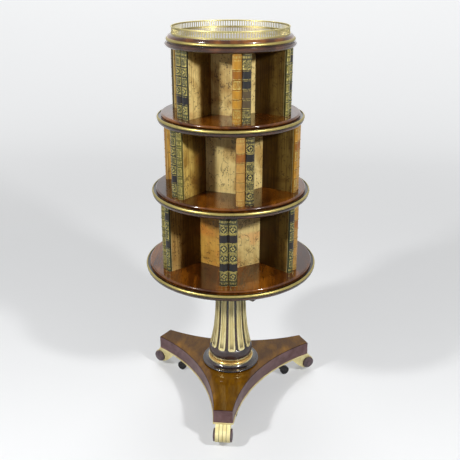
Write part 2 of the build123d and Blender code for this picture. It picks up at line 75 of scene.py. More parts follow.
class Graph:
    def __init__(self, tree):
        self.tree = tree

    def add(self, kind, settings=None, inputs=None, output=0):
        node = self.tree.nodes.new(kind)
        for name, value in (settings or {}).items():
            if name == "stops":
                ramp = node.color_ramp
                while len(ramp.elements) < len(value):
                    ramp.elements.new(1.0)
                for element, (place, colour) in zip(ramp.elements, value):
                    element.position = place
                    element.color = (*colour, 1.0)
            else:
                setattr(node, name, value)
        for key, value in (inputs or {}).items():
            if isinstance(value, Wire):
                self.tree.links.new(value.socket, node.inputs[key])
            else:
                node.inputs[key].default_value = value
        return Wire(self, node.outputs[output])

    def math(self, operation, *values):
        inputs = dict(enumerate(values))
        return self.add("ShaderNodeMath", {"operation": operation}, inputs)

    def mix(self, factor, first, second, blend="MIX"):
        first, second = [c if isinstance(c, Wire) else (*c, 1.0) for c in (first, second)]
        settings = {"data_type": "RGBA", "blend_type": blend}
        return self.add("ShaderNodeMix", settings, {0: factor, 6: first, 7: second}, 2)

    def ease(self, value, low, high, start=0.0, end=1.0):
        inputs = {0: value, 1: low, 2: high, 3: start, 4: end}
        return self.add("ShaderNodeMapRange", {"interpolation_type": "SMOOTHSTEP"}, inputs)

    def place(self, scale=(1, 1, 1), turn=(0, 0, 0)):
        where = self.add("ShaderNodeTexCoord", output=3)
        return self.add("ShaderNodeMapping", None, {0: where, 2: turn, 3: scale})

    def noise(self, where, scale, detail=3.0, rough=0.55, bend=0.0):
        inputs = {"Vector": where, "Scale": scale, "Detail": detail, "Roughness": rough, "Distortion": bend}
        return self.add("ShaderNodeTexNoise", None, inputs)

    def cells(self, where, scale):
        return self.add("ShaderNodeTexVoronoi", None, {"Vector": where, "Scale": scale})

    def ramp(self, value, stops):
        return self.add("ShaderNodeValToRGB", {"stops": stops}, {0: value})

    def attribute(self, name, output=0):
        return self.add("ShaderNodeAttribute", {"attribute_name": name}, None, output)

    def axes(self, vector=None):
        vector = vector or self.add("ShaderNodeTexCoord", output=3)
        node = self.add("ShaderNodeSeparateXYZ", None, {0: vector}).socket.node
        return [Wire(self, socket) for socket in node.outputs]


def surface(name, build, **fixed):  # build(graph) gives the varying inputs; fixed ones are plain numbers
    material = bpy.data.materials.new(name)
    material.use_nodes = True
    graph = Graph(material.node_tree)
    shader = graph.tree.nodes["Principled BSDF"]
    for key, value in fixed.items():
        shader.inputs[key.replace("_", " ")].default_value = value
    for key, value in build(graph).items():
        if key == "Height":
            value = graph.add("ShaderNodeBump", None, {"Height": value[0], "Distance": value[1]})
            key = "Normal"
        graph.tree.links.new(value.socket, shader.inputs[key])
    return material


# Places read from the frame.
def span(node):
    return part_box(node)


def middle(node):
    low, high = span(node)
    return (low + high) / 2


axis = middle("spindle")


def radiusOf(node):
    low, high = span(node)
    return (high.x - low.x) / 2


def paint(material, slotName, *names):
    for name in names:
        nodes[name].data.materials.clear()
        nodes[name].data.materials.append(material)


# Woods.
rosewood = {
    "deep": (0.014, 0.004, 0.001),
    "body": (0.068, 0.018, 0.002),
    "flame": (0.270, 0.088, 0.006),
    "stops": (0.30, 0.47, 0.66),  # where the figure is deep, body and flame
    "figureScale": 7.0,
    "figureShare": 0.72,
    "stripeFiner": 5,
    "stretch": 0.16,
    "poreScale": 420.0,
    "poreStretch": 0.06,
    "poreDark": 0.55,
    "polish": 0.13,
    "scuff": 0.16,
}


def woodColour(graph, look, turn):  # the colour, the pores and the figure
    grain = (0, 0, radians(turn))
    across = graph.place((1, look["stretch"], 1), grain)
    figure = graph.noise(across, look["figureScale"], 5.0, 0.6, 1.4)
    stripe = graph.noise(across, look["figureScale"] * look["stripeFiner"], 3.0, 0.6, 0.4)
    blend = figure * look["figureShare"] + stripe * (1 - look["figureShare"])
    colour = graph.ramp(blend, list(zip(look["stops"], (look["deep"], look["body"], look["flame"]))))
    pores = graph.noise(graph.place((1, look["poreStretch"], 1), grain), look["poreScale"], 2.0)
    dark = graph.ease(pores, 0.56, 0.68, 0.0, look["poreDark"])
    return graph.mix(dark, colour, look["deep"]), pores, blend


def rosewoodFace(name, look=rosewood, turn=0.0):
    def build(graph):
        colour, pores = woodColour(graph, look, turn)[:2]
        haze = graph.noise(graph.place(), 16.0, 4.0)
        rough = graph.ease(haze, 0.35, 0.75, look["polish"], look["polish"] + look["scuff"])
        return {"Base Color": colour, "Roughness": rough, "Height": (pores * 0.4 + haze * 0.6, 0.00012)}

    return surface(name, build, Coat_Weight=0.5, Coat_Roughness=0.05, Specular_IOR_Level=0.2)


floorWood = rosewoodFace("floorRosewood", turn=12.0)
coreWood = rosewoodFace("coreRosewood", dict(rosewood, polish=0.4), turn=90.0)

platformLook = dict(
    rosewood,
    deep=(0.070, 0.026, 0.001),
    body=(0.130, 0.052, 0.001),
    flame=(0.250, 0.110, 0.002),
    # side and shade: a mauve-brown painted reflection of the bluish backdrop, used on the platform's sides
    side=(0.235, 0.135, 0.140),
    shade=(0.120, 0.062, 0.062),
    figureScale=13.0,
    stretch=0.4,
    turn=35.0,
    edgeLine=0.0035,
    edgeSoft=0.0012,
    edgeDark=0.8,
)


def platformBuild(graph):
    colour, pores, blend = woodColour(graph, platformLook, platformLook["turn"])
    normal = graph.add("ShaderNodeNewGeometry", output=1)
    upward = graph.axes(normal)[2]
    height = graph.axes()[2]
    top = span("platform")[1].z
    # painted reflection: faces that do not look up take the mauve-brown side tone in place of the wood's
    # colour
    toneBlend = graph.mix(graph.ease(blend, 0.3, 0.7), platformLook["shade"], platformLook["side"])
    colour = graph.mix(graph.ease(upward, 0.2, 0.9), toneBlend, colour)
    line = graph.ease(height, top - platformLook["edgeLine"], top - platformLook["edgeSoft"])
    line = line * (1 - graph.ease(upward, 0.75, 0.95))
    colour = graph.mix(line * platformLook["edgeDark"], colour, rosewood["deep"])
    dust = graph.noise(graph.place(), 24.0, 4.0)
    rough = graph.ease(upward, 0.3, 0.9, 0.42, 0.12) + graph.ease(dust, 0.4, 0.8, 0.0, 0.14)
    return {"Base Color": colour, "Roughness": rough, "Height": (pores * 0.5 + dust * 0.5, 0.00015)}


platformWood = surface(
    "platformRosewood", platformBuild, Coat_Weight=0.25, Coat_Roughness=0.07, Specular_IOR_Level=0.1
)

ebony = {
    "black": (0.010, 0.007, 0.008),
    "brown": (0.055, 0.024, 0.020),
    "worn": (0.170, 0.080, 0.045),
    "polish": 0.16,
}


def ebonyFace(name, brownness, coat=0.8, polish=ebony["polish"]):
    def build(graph):
        patch = graph.noise(graph.place(), 20.0, 5.0, 0.6, 0.4)
        streak = graph.noise(graph.place((1, 1, 0.08)), 180.0, 3.0)
        colour = graph.mix(graph.ease(patch, 0.35, 0.7) * brownness, ebony["black"], ebony["brown"])
        rubbed = graph.ease(patch * 0.6 + streak * 0.4, 0.60, 0.72) * 0.45
        colour = graph.mix(rubbed, colour, ebony["worn"])
        rough = graph.ease(streak, 0.3, 0.75, polish, polish + 0.18)
        return {"Base Color": colour, "Roughness": rough, "Height": (streak + patch, 0.00008)}

    return surface(name, build, Coat_Weight=coat, Coat_Roughness=0.06)


ebonyShaft = ebonyFace("ebonisedShaft", 1.0, 0.5, 0.3)
ebonyGloss = ebonyFace("ebonisedGloss", 0.45)

roundelLook = {"ground": (0.045, 0.024, 0.030), "worn": (0.120, 0.070, 0.080)}


def roundelBuild(graph):  # ebonised discs gone dull and brown
    patch = graph.noise(graph.place(), 60.0, 5.0, 0.6, 0.4)
    colour = graph.mix(graph.ease(patch, 0.35, 0.7), roundelLook["ground"], roundelLook["worn"])
    rough = graph.ease(patch, 0.3, 0.8, 0.34, 0.5)
    return {"Base Color": colour, "Roughness": rough, "Height": (patch, 0.0001)}


roundelWood = surface("roundelWood", roundelBuild, Coat_Weight=0.2, Coat_Roughness=0.2)


# Metals and gilding.
brass = {
    "bright": (0.430, 0.345, 0.115),
    "dull": (0.210, 0.175, 0.058),
    "green": (0.085, 0.090, 0.032),
    "polish": 0.33,
}


def brassFace(name, look=brass, tarnish=0.5):
    def build(graph):
        cloud = graph.noise(graph.place(), 18.0, 3.0, 0.5, 0.3)
        speck = graph.noise(graph.place(), 120.0, 3.0)
        colour = graph.mix(graph.ease(cloud, 0.38, 0.72) * tarnish, look["bright"], look["dull"])
        colour = graph.mix(graph.ease(speck, 0.60, 0.74) * tarnish, colour, look["green"])
        rough = graph.ease(cloud, 0.3, 0.8, look["polish"], look["polish"] + 0.14)
        return {"Base Color": colour, "Roughness": rough, "Height": (cloud, 0.00001)}

    return surface(name, build, Metallic=1.0)


beadBrass = brassFace("beadBrass")
galleryBrass = brassFace("galleryBrass", dict(brass, bright=(0.50, 0.43, 0.19), dull=(0.30, 0.26, 0.10)))
bushBrass = brassFace("bushBrass", dict(brass, bright=(0.60, 0.42, 0.14)), 0.6)

gilding = {
    "leaf": (0.900, 0.800, 0.420),
    "shade": (0.740, 0.610, 0.250),
    "bole": (0.230, 0.060, 0.022),
    "grimeAndShade": (0.060, 0.042, 0.020),
}


def giltBuild(graph):
    leaf = graph.noise(graph.place((1, 1, 0.45)), 42.0, 4.0, 0.6, 0.3)
    crackle = graph.noise(graph.place(), 300.0, 4.0, 0.7)
    rub = graph.noise(graph.place(), 75.0, 5.0, 0.7)
    colour = graph.mix(graph.ease(leaf, 0.35, 0.75), gilding["leaf"], gilding["shade"])
    colour = graph.mix(graph.ease(rub, 0.62, 0.72) * 0.5, colour, gilding["bole"])
    colour = graph.mix(graph.ease(crackle, 0.62, 0.76) * 0.5, colour, gilding["grimeAndShade"])
    return {
        "Base Color": colour,
        "Roughness": graph.ease(crackle, 0.3, 0.8, 0.36, 0.6),
        "Metallic": graph.ease(rub, 0.58, 0.68, 0.35, 0.1),
        "Height": (crackle + rub, 0.00008),
    }


gilt = surface("waterGilding", giltBuild)

footLook = {
    "arms": (-90, 30, 150),  # degrees
    "start": 0.20,  # distance from the axis where the scrolls begin
    "pitch": 0.012,
    "half": 0.0011,
    "outer": 0.018,
    "darkening": 0.8,
    "line": (0.140, 0.085, 0.030),
}


def footBuild(graph):  # the grooves between the reeds of each scroll are drawn darker
    fixed = giltBuild(graph)
    x, y = graph.axes()[:2]
    half, outer, start = footLook["half"], footLook["outer"], footLook["start"]
    lines = []
    for angle in footLook["arms"]:
        c, s = cos(radians(angle)), sin(radians(angle))
        along = (x - axis.x) * c + (y - axis.y) * s
        across = (y - axis.y) * c - (x - axis.x) * s
        line = graph.math("PINGPONG", across, footLook["pitch"] / 2)
        line = graph.ease(line, half * 0.6, half, 1.0, 0.0)
        line = line * graph.ease(abs(across), outer - 0.001, outer, 1.0, 0.0)
        lines.append(line * graph.ease(along, start, start + 0.01))
    darkening = lines[0] + lines[1] + lines[2]
    fixed["Base Color"] = graph.mix(darkening * footLook["darkening"], fixed["Base Color"], footLook["line"])
    return fixed


footGilt = surface("footGilding", footBuild)

reedLook = {
    "count": 12,
    "turn": 7.8,
    "halfHollow": 5.25,
    # hollow and line: colours of the painted shade in the reeds
    "hollow": (0.480, 0.370, 0.130),
    "line": (0.090, 0.058, 0.030),
}


def reedBuild(graph):  # painted shade: the hollow down each reed is painted duller, with painted shade along its edges and at its lower tip
    fixed = giltBuild(graph)
    x, y, z = graph.axes()
    angle = graph.math("ARCTAN2", y - axis.y, x - axis.x) * (180 / pi)
    pitch = 360 / reedLook["count"]
    offset = graph.math("PINGPONG", angle + (90 - reedLook["turn"] + 360), pitch / 2)
    foot = span("column_reeds")[0].z
    reach = graph.ease(z, foot + 0.006, foot + 0.010)
    hollow = graph.ease(offset, reedLook["halfHollow"] - 0.7, reedLook["halfHollow"], 1.0, 0.0) * reach
    # painted shade lines along the edges of each hollow
    grimeAndShade = graph.ease(abs(offset - reedLook["halfHollow"]), 0.1, 0.7, 1.0, 0.0) * reach
    tip = graph.ease(z, foot + 0.008, foot + 0.034, 1.0, 0.0) * hollow
    colour = graph.mix(hollow * 0.38, fixed["Base Color"], reedLook["hollow"])
    colour = graph.mix(graph.math("MAXIMUM", grimeAndShade * 0.6, tip * 0.75), colour, reedLook["line"])
    fixed["Base Color"] = colour
    return fixed


reedGilt = surface("reedGilding", reedBuild)

# cove: the colour of the painted shade in the ring's cove
ringLook = {"fillet": 0.0032, "cove": (0.470, 0.250, 0.045), "line": (0.090, 0.045, 0.012)}


def ringBuild(graph):  # two bright fillets with painted shade in the cove between them
    low, high = [end.z for end in span("column_ring")]
    fillet = ringLook["fillet"]
    height = graph.axes()[2]
    cove = graph.ease(height, low + fillet, low + fillet + 0.001)
    cove = cove * graph.ease(height, high - fillet - 0.001, high - fillet, 1.0, 0.0)
    cloud = graph.noise(graph.place(), 60.0, 4.0)
    colour = graph.mix(graph.ease(cloud, 0.3, 0.8) * 0.5, gilding["leaf"], gilding["shade"])
    # painted shade in the cove
    colour = graph.mix(cove * 0.85, colour, ringLook["cove"])
    colour = graph.mix(graph.ease(cloud, 0.58, 0.75) * 0.35, colour, ringLook["line"])
    rough = graph.ease(cloud, 0.3, 0.8, 0.24, 0.40)
    return {"Base Color": colour, "Roughness": rough, "Height": (cloud, 0.00002)}


ringGilt = surface("ringGilding", ringBuild, Metallic=0.8)

ironLook = {"dark": (0.020, 0.020, 0.023), "worn": (0.060, 0.056, 0.054), "rust": (0.110, 0.045, 0.018)}


def ironBuild(graph):
    scale = graph.noise(graph.place(), 90.0, 5.0, 0.65)
    rust = graph.noise(graph.place(), 35.0, 4.0)
    colour = graph.mix(graph.ease(scale, 0.35, 0.7), ironLook["dark"], ironLook["worn"])
    colour = graph.mix(graph.ease(rust, 0.60, 0.72) * 0.7, colour, ironLook["rust"])
    return {
        "Base Color": colour,
        "Roughness": graph.ease(scale, 0.3, 0.8, 0.35, 0.62),
        "Metallic": graph.ease(rust, 0.58, 0.7, 0.85, 0.2),
        "Height": (scale, 0.0002),
    }


iron = surface("castorIron", ironBuild)
print("woods and metals ready")


# Shelf boards: painted shade in the quirks on both sides of the brass bead, moulded rosewood below.
shelfLook = {
    "quirk": 0.0022,
    "edge": 0.0125,  # how far in from the bead the board's edge reaches
    "shade": (0.008, 0.005, 0.003),
    "mould": (0.095, 0.044, 0.030),
    "toneBlend": 0.75,
}


def shelfBoard(shelf, turn):
    beadMiddle = middle(f"{shelf}_bead").z
    beadHalf = beadMiddle - span(f"{shelf}_bead")[0].z
    rim = radiusOf(f"{shelf}_bead")

    def build(graph):
        colour, pores, blend = woodColour(graph, rosewood, turn)
        x, y, z = graph.axes()
        out = (x * x + (y - axis.y) * (y - axis.y)) ** 0.5
        low = beadMiddle - beadHalf
        under = graph.ease(z, low - shelfLook["quirk"], low - shelfLook["quirk"] + 0.0006)
        over = graph.ease(z, beadMiddle + beadHalf * 0.3, beadMiddle + beadHalf * 0.5)
        edge = graph.ease(out, rim - shelfLook["edge"] - 0.001, rim - shelfLook["edge"])
        toneBlend = graph.ease(blend, 0.3, 0.7)
        mould = graph.mix(toneBlend, rosewood["deep"], shelfLook["mould"])
        onMould = edge * graph.ease(z, low - 0.001, low, 1.0, 0.0)
        colour = graph.mix(onMould * shelfLook["toneBlend"], colour, mould)
        # painted shade: the quirks beside the bead take the near-black shade colour
        if shelf == "upper":
            quirk = under * graph.ease(z, low + 0.001, low + 0.002, 1.0, 0.0)
        else:
            quirk = graph.math("MAXIMUM", under, over) * edge
        colour = graph.mix(quirk, colour, shelfLook["shade"])
        rough = graph.ease(blend, 0.3, 0.7, 0.14, 0.26)
        return {"Base Color": colour, "Roughness": rough, "Height": (pores, 0.00008)}

    gloss = {"Coat_Weight": 0.5, "Coat_Roughness": 0.06, "Specular_IOR_Level": 0.25}
    paint(surface(f"{shelf}BoardRosewood", build, **gloss), "rosewood_moulding", f"{shelf}_board")
    paint(beadBrass, "brass", f"{shelf}_bead")


for shelfTurn, shelfName in ((10, "base"), (55, "lower"), (100, "middle"), (25, "upper")):
    shelfBoard(shelfName, shelfTurn)
paint(floorWood, "rosewood", "lower_floor", "middle_floor", "upper_floor")
paint(coreWood, "rosewood", "lower_core", "middle_core", "upper_core")
paint(coreWood, "rosewood", "lower_dividers", "middle_dividers", "upper_dividers")
paint(platformWood, "rosewood", "platform")
paint(gilt, "gilt", "platform_bead")
paint(footGilt, "gilt", "scroll_feet")
paint(reedGilt, "gilt", "column_reeds")
paint(ringGilt, "gilt", "column_ring")
paint(ebonyShaft, "ebonised_wood", "column", "bearer")
paint(ebonyGloss, "ebonised_wood", "collar")
paint(roundelWood, "ebonised_wood", "foot_roundels")
paint(galleryBrass, "brass", "gallery_foot", "gallery_rim", "spindle_cap")
paint(bushBrass, "bush_brass", *[n for n in nodes if n.endswith(("_bushes", "_thrust_washer"))])
paint(iron, "iron", "spindle", "spindle_washer", "spindle_nut", "castor_plates")
paint(iron, "iron", *[n for n in nodes if n.endswith(("_horn", "_axle", "_wheel"))])
print("CAD pieces painted")


# Meshes made here: a draft gathers faces with a flat uv and colours.
class Draft:
    def __init__(self, *tints):
        self.points = []
        self.faces = []
        self.uvs = []
        self.tints = {name: [] for name in tints}

    def face(self, corners, uvs, **tints):
        start = len(self.points)
        self.points.extend(corners)
        self.faces.append(range(start, start + len(corners)))
        self.uvs.extend(uvs)
        for name in self.tints:
            self.tints[name].extend([tints[name]] * len(corners))

    def piece(self, name, material, body, slotName, stands, smooth=False):
        mesh = bpy.data.meshes.new(name)
        mesh.from_pydata(self.points, [], [list(f) for f in self.faces])
        layer = mesh.uv_layers.new(name="place")
        for loop, uv in zip(layer.data, self.uvs):
            loop.uv = uv
        for tint, colours in self.tints.items():
            store = mesh.color_attributes.new(tint, "FLOAT_COLOR", "CORNER")
            for item, colour in zip(store.data, colours):
                item.color = (*colour, 1.0)
        shape = bmesh.new()
        shape.from_mesh(mesh)
        bmesh.ops.remove_doubles(shape, verts=shape.verts, dist=0.00001)
        bmesh.ops.recalc_face_normals(shape, faces=shape.faces)
        shape.to_mesh(mesh)
        shape.free()
        if smooth:
            mesh.polygons.foreach_set("use_smooth", [True] * len(mesh.polygons))
            mesh.set_sharp_from_angle(angle=radians(35))
        mesh.materials.append(material)
        piece = bpy.data.objects.new(name, mesh)
        bpy.context.scene.collection.objects.link(piece)
        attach(piece, body)
        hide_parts(*stands)
        return piece


def turned(along, across, height, angle):  # a point of the tier plan, along an arm and across it
    a = radians(angle)
    return (along * cos(a) - across * sin(a) + axis.x, along * sin(a) + across * cos(a) + axis.y, height)


# Marbled boards and core panels.
marbling = {
    "vein": (0.040, 0.017, 0.007),
    "stain": (0.50, 0.36, 0.20),
    "streak": (0.30, 0.22, 0.13),
    "blush": (1.00, 0.62, 0.50),
    "pale": (1.15, 1.18, 1.25),
    # painted shade: the next colour darkens the divider boards towards the core, between the two distances
    # after it
    "aged": (0.30, 0.22, 0.12),
    "shadeFrom": 0.040,
    "shadeTo": 0.072,
    "cloudScale": 14.0,
    "streakScale": 300.0,
    "veinScale": 34.0,
    "veinHalf": 0.026,
    "spotScale": 120.0,
    "strip": 0.004,  # leather turned over the board's outer edge
    "wornHide": (0.02, 0.01, 0.006),
}


def marbledBuild(graph):
    tint = graph.attribute("paper")
    hide = graph.attribute("hide")
    where = graph.place()
    cloud = graph.noise(where, marbling["cloudScale"], 5.0, 0.6, 0.6)
    streak = graph.noise(graph.place((1, 1, 0.03)), marbling["streakScale"], 2.0)
    patch = graph.noise(where, 9.0, 3.0)
    across = graph.axes(graph.add("ShaderNodeUVMap", {"uv_map": "place"}))[0]
    colour = graph.mix(graph.ease(cloud, 0.42, 0.68) * 0.8, tint, marbling["stain"], "MULTIPLY")
    colour = graph.mix(graph.ease(patch, 0.36, 0.46, 0.7, 0.0), colour, marbling["pale"], "MULTIPLY")
    colour = graph.mix(graph.ease(patch, 0.58, 0.70, 0.0, 0.6), colour, marbling["blush"], "MULTIPLY")
    # 1 on divider boards and 0 on core panels: stronger streaks and the painted shade towards the core
    aged = graph.attribute("aged", 2)
    lined = graph.ease(streak, 0.46, 0.66) * (aged * 0.45 + 0.25)
    colour = graph.mix(lined, colour, marbling["streak"], "MULTIPLY")
    # painted shade: divider boards darken towards the core, where the compartment's walls meet
    coreShade = graph.ease(across + cloud * 0.02, marbling["shadeFrom"], marbling["shadeTo"]) * aged
    colour = graph.mix(coreShade, colour, marbling["aged"], "MULTIPLY")
    path = graph.noise(graph.place((1, 1, 0.7)), marbling["veinScale"], 3.0, 0.5, 0.5)
    vein = graph.ease(abs(path - 0.5), 0.0, marbling["veinHalf"], 1.0, 0.0)
    vein = vein * graph.ease(graph.noise(where, 42.0, 2.0), 0.47, 0.55)
    spot = graph.ease(graph.cells(where, marbling["spotScale"]), 0.14, 0.34, 1.0, 0.0)
    spot = spot * graph.ease(graph.noise(where, 30.0, 3.0), 0.48, 0.60)
    blot = graph.ease(graph.noise(where, 60.0, 5.0, 0.65), 0.60, 0.70)
    dark = graph.math("MAXIMUM", graph.math("MAXIMUM", vein * 0.8, spot), blot * 0.8)
    colour = graph.mix(dark * 0.85, colour, marbling["vein"])
    leather = graph.ease(across, marbling["strip"], marbling["strip"] + 0.0006, 1.0, 0.0)
    rule = graph.ease(abs(across - marbling["strip"] - 0.0012), 0.0003, 0.0007, 1.0, 0.0)
    grain = graph.noise(where, 520.0, 3.0)
    worn = graph.mix(graph.ease(grain, 0.3, 0.8) * 0.4, hide, marbling["wornHide"])
    colour = graph.mix(leather, colour, worn)
    colour = graph.mix(rule * 0.55, colour, gilding["leaf"])
    return {
        "Base Color": colour,
        "Roughness": graph.ease(cloud, 0.3, 0.8, 0.30, 0.50),
        "Height": (grain * 0.5 + dark * 0.5, 0.0001),
    }


marbledPaper = surface(
    "marbledPaper", marbledBuild, Coat_Weight=0.1, Coat_Roughness=0.25, Specular_IOR_Level=0.3
)


# False spines.
spineLook = {
    "gold": (0.500, 0.410, 0.120),
    "darkening": (0.035, 0.016, 0.008),
    "rubbed": (0.50, 0.30, 0.13),
    "latticeWave": 31.4,
    "pearlWave": 18.85,
    "bandRise": 0.0013,
    "bandHalf": 0.0016,
    "firstBand": 0.215,
    "bandPitch": 0.14,
    "bandCount": 5,
    "edgeShare": 0.09,
    "arcSteps": 12,
}


# "place" holds (across, up) inside a compartment, both 0 to 1; "tool" is (lattice, lozenge, dots)
def leatherBuild(graph):
    ground = graph.attribute("ground")
    lattice, lozenge, dots = graph.axes(graph.attribute("tool"))
    u, v = graph.axes(graph.add("ShaderNodeUVMap", {"uv_map": "place"}))[:2]
    p = abs(u - 0.5) * 2
    q = abs(v - 0.5) * 2
    where = graph.place()
    scuff = graph.noise(where, 55.0, 5.0, 0.65)
    grain = graph.cells(where, 900.0)
    colour = graph.mix(graph.ease(scuff, 0.35, 0.8) * 0.45, ground, spineLook["darkening"])
    colour = graph.mix(graph.ease(scuff, 0.22, 0.36, 0.35, 0.0), colour, spineLook["rubbed"])
    box = graph.math("MAXIMUM", p, q)
    inner = graph.ease(box, 0.66, 0.72, 1.0, 0.0)
    wave = spineLook["latticeWave"]
    weave = graph.math("SINE", (u + v) * wave) * graph.math("SINE", (u - v) * wave)
    hatch = graph.ease(abs(weave), 0.12, 0.34, 1.0, 0.0) * inner * lattice
    outline = graph.ease(abs(box - 0.80), 0.04, 0.08, 1.0, 0.0) * graph.math("MAXIMUM", lattice, lozenge)
    diamond = p * 1.05 + q
    rings = graph.ease(abs(diamond - 0.48), 0.16, 0.22, 1.0, 0.0)
    corners = graph.ease(p * q, 0.26, 0.34) * inner
    flower = (rings + corners) * lozenge
    row = graph.math("SINE", u * spineLook["pearlWave"]) ** 2 * graph.ease(q, 0.25, 0.5, 1.0, 0.0)
    pearls = graph.ease(row, 0.35, 0.6) * dots
    border = graph.ease(abs(q - 0.93), 0.03, 0.05, 1.0, 0.0)
    cap = graph.ease(p, 0.90, 0.94, 1.0, 0.0)
    tooled = graph.math("MAXIMUM", graph.math("MAXIMUM", hatch * 0.8, flower), outline)
    gold = graph.math("MAXIMUM", tooled, graph.math("MAXIMUM", pearls, border))
    worn = graph.ease(graph.noise(where, 240.0, 3.0), 0.36, 0.56)
    gold = graph.math("MINIMUM", gold, 1.0) * cap * worn
    colour = graph.mix(gold, colour, spineLook["gold"])
    return {
        "Base Color": colour,
        "Roughness": graph.ease(scuff, 0.3, 0.8, 0.32, 0.5),
        "Metallic": gold * 0.55,
        "Height": (grain * 0.4 + gold * -0.6 + scuff * 0.4, 0.00015),
    }


spineLeather = surface(
    "spineLeather", leatherBuild, Coat_Weight=0.15, Coat_Roughness=0.25, Specular_IOR_Level=0.3
)

# Zones from the foot up: foot edge, foot, four compartments, head, head edge.
# g gilt edge, p latticed panel, r panel with a lozenge, b label, z dark lozenge, l plain leather.
bindings = {
    "black": {
        "hide": (0.012, 0.014, 0.011),
        "panel": (0.024, 0.030, 0.018),
        "label": (0.008, 0.008, 0.009),
        "band": (0.300, 0.250, 0.065),
        "zones": "grbrrbrg",
    },
    "lozenge": {
        "hide": (0.008, 0.007, 0.007),
        "panel": (0.030, 0.027, 0.012),
        "label": (0.009, 0.008, 0.008),
        "band": (0.240, 0.190, 0.060),
        "zones": "gzpzpbzg",
    },
    "tan": {
        "hide": (0.47, 0.255, 0.060),
        "panel": (0.40, 0.210, 0.050),
        "label": (0.33, 0.120, 0.020),
        "band": (0.30, 0.150, 0.030),
        "zones": "gllllblg",
    },
    "amber": {
        "hide": (0.46, 0.225, 0.022),
        "panel": (0.36, 0.170, 0.018),
        "label": (0.28, 0.105, 0.008),
        "band": (0.26, 0.115, 0.012),
        "zones": "gpllpblg",
    },
    "olive": {
        "hide": (0.085, 0.060, 0.026),
        "panel": (0.055, 0.050, 0.022),
        "label": (0.012, 0.013, 0.013),
        "zones": "gpllbbpg",
    },
    "forest": {
        "hide": (0.022, 0.034, 0.015),
        "panel": (0.036, 0.046, 0.018),
        "label": (0.012, 0.012, 0.010),
        "zones": "gprbprbg",
    },
    "moss": {
        "hide": (0.060, 0.058, 0.012),
        "panel": (0.130, 0.115, 0.022),
        "label": (0.030, 0.040, 0.020),
        "zones": "gpgpgpgp",
    },
    "ivy": {
        "hide": (0.012, 0.016, 0.011),
        "panel": (0.060, 0.062, 0.026),
        "label": (0.008, 0.008, 0.010),
        "band": (0.010, 0.012, 0.010),
        "zones": "grbrprpg",
    },
}
zoneLook = {  # which colour a zone takes, and its tooling
    "g": ("panel", (0, 0, 1)),
    "p": ("panel", (1, 0, 0)),
    "r": ("panel", (0, 1, 0)),
    "b": ("label", (0, 0, 0)),
    "z": ("hide", (0, 1, 0)),
    "l": ("hide", (0, 0, 0)),
    None: ("band", (0, 0, 0)),  # a raised band; a book without a colour for it takes its hide
}
dryPaper = (0.58, 0.41, 0.105)
creamPaper = (0.73, 0.57, 0.230)
ochrePaper = (0.62, 0.35, 0.065)
pinkPaper = (0.66, 0.38, 0.200)
# painted shade: a dark paper for the one board in each tier that stands in shade
shadePaper = (0.230, 0.150, 0.036)
brownPaper = (0.420, 0.260, 0.080)

# From the front, going round towards +X: books and boards are the left and right of each divider,
# papers are the core panels between the dividers.
library = {
    "lower": {
        "books": "black black forest tan olive amber lozenge tan ivy ivy moss forest".split(),
        "papers": [creamPaper, dryPaper, ochrePaper, creamPaper, dryPaper, ochrePaper],
        "boards": [
            *(dryPaper, creamPaper, shadePaper, pinkPaper, ochrePaper, dryPaper),
            *(creamPaper, ochrePaper, dryPaper, creamPaper, pinkPaper, brownPaper),
        ],
    },
    "middle": {
        "books": "tan lozenge amber tan forest forest olive amber black tan ivy moss".split(),
        "papers": [creamPaper, ochrePaper, dryPaper, creamPaper, ochrePaper, creamPaper],
        "boards": [
            *(creamPaper, dryPaper, shadePaper, ochrePaper, creamPaper, dryPaper),
            *(ochrePaper, dryPaper, creamPaper, ochrePaper, pinkPaper, dryPaper),
        ],
    },
    "upper": {
        "books": "amber olive moss forest black tan tan lozenge forest olive ivy ivy".split(),
        "papers": [creamPaper, dryPaper, creamPaper, ochrePaper, dryPaper, creamPaper],
        "boards": [
            *(creamPaper, creamPaper, shadePaper, ochrePaper, ochrePaper, creamPaper),
            *(dryPaper, creamPaper, ochrePaper, dryPaper, pinkPaper, creamPaper),
        ],
    },
}
plan = {  # sizes of the dividers, as the frame has them
    "count": 6,
    "front": -90.0,
    "halfWidth": 0.027,
    "root": 0.005,
    "boardThick": 0.0025,
    "panelThick": 0.003,
    "bulge": 0.007,
    "jointGap": 0.0004,
    "panelGap": 0.0015,
    "pastStrip": 0.05,  # panels start this far in, so that no leather strip is drawn on them
}
tierTurn = {"lower": 2.9, "middle": 15.9, "upper": 14.4}
tierReach = {"lower": (0.117, 0.236), "middle": (0.110, 0.219), "upper": (0.084, 0.188)}


def slab(draft, outline, low, high, angle, start=0.0, **tints):  # u runs inward from the second corner
    corners = [turned(along, across, low, angle) for along, across in outline]
    tops = [turned(along, across, high, angle) for along, across in outline]
    shares = [start + outline[1][0] - along for along, across in outline]
    for i in range(len(outline)):
        j = (i + 1) % len(outline)
        sides = [corners[i], corners[j], tops[j], tops[i]]
        uvs = [(shares[i], 0), (shares[j], 0), (shares[j], high - low), (shares[i], high - low)]
        draft.face(sides, uvs, **tints)
    flat = [(share, 0) for share in shares]
    draft.face(corners[::-1], flat[::-1], **tints)
    draft.face(tops, flat, **tints)


